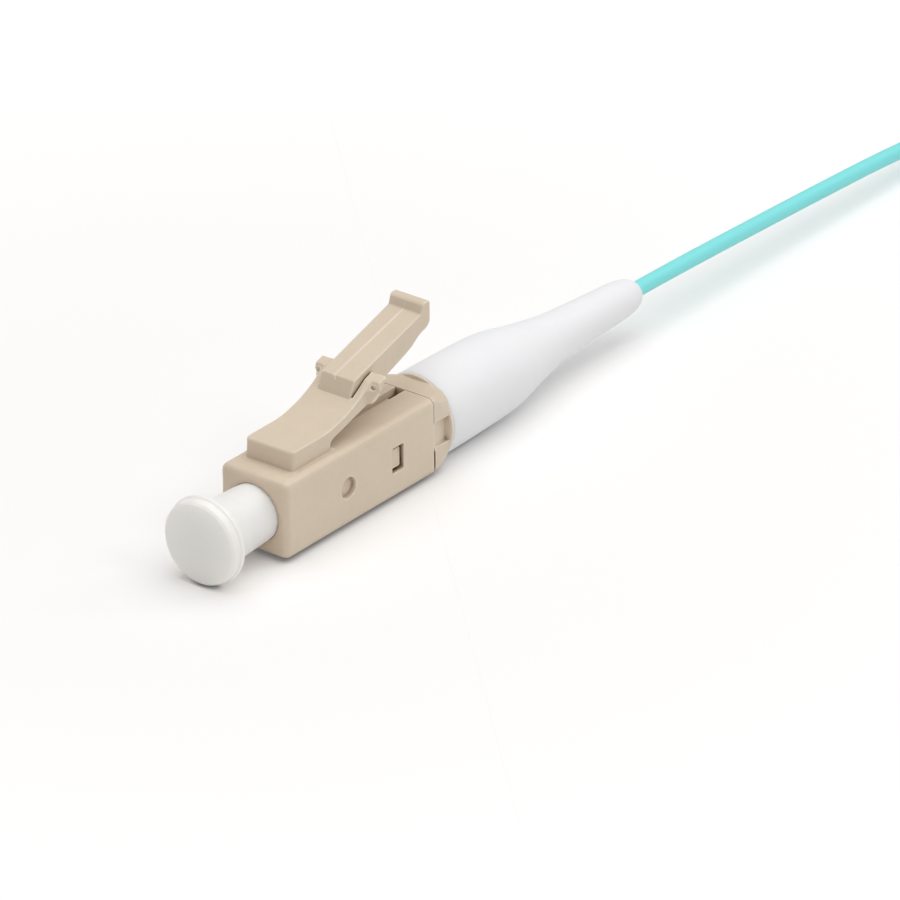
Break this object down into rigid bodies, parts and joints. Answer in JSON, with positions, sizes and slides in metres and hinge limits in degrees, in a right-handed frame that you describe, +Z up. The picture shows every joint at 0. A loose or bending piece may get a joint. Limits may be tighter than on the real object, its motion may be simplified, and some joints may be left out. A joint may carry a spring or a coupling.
{
  "type": "fibre connector",
  "caption": "Small square plug for one optical fibre, with a sprung latch lever on top, a plug-in dust cap, a soft tapered boot and a thin buffered fibre with a tied hank.",
  "frame": {"origin": "under the middle of the connector with its cap on, on the surface it lies on", "axes": "+X from the dust cap along the plug towards the boot and the fibre; +Z up, the side the latch is on; +Y to the plug's left, seen from the cap"},
  "size_m": [0.0895, 0.014, 0.0099],
  "materials": {
    "housing_plastic": "moulded thermoplastic with a fine satin texture",
    "boot_elastomer": "soft matte moulded elastomer",
    "cap_plastic": "smooth low-gloss polyethylene",
    "fibre_buffer": "smooth extruded buffer",
    "ferrule_ceramic": "polished ceramic",
    "flange_metal": "turned",
    "fibre_glass": "bare fibre",
    "spring_steel": "drawn wire",
    "tube_plastic": "extruded",
    "tie_plastic": "soft band"
  },
  "bodies": {
    "plug": {"plug_housing": "housing_plastic", "rear_body": "housing_plastic", "boot": "boot_elastomer", "guide_tube": "tube_plastic", "ferrule_spring": "spring_steel", "fibre_cord": "fibre_buffer", "cord_hank": "fibre_buffer", "hank_tie": "tie_plastic"},
    "latch": {"latch": "housing_plastic"},
    "ferrule": {"ferrule": "ferrule_ceramic", "ferrule_flange": "flange_metal", "glass_fibre": "fibre_glass"},
    "cap": {"dust_cap": "cap_plastic"}
  },
  "joints": [
    {"name": "latch_press", "type": "hinge", "parent": "plug", "child": "latch", "pos_m": [-0.00925, 0, 0.00573], "axis": [0, 1, 0], "range_deg": [0, 14], "stiffness_Nm_per_rad": 0.05},
    {"name": "ferrule_travel", "type": "slide", "parent": "plug", "child": "ferrule", "axis": [1, 0, 0], "range_m": [0, 0.0008], "stiffness_N_per_m": 500, "deforming": ["ferrule_spring"]},
    {"name": "cap_pull", "type": "slide", "parent": "plug", "child": "cap", "axis": [-1, 0, 0], "range_m": [0, 0.012]}
  ]
}
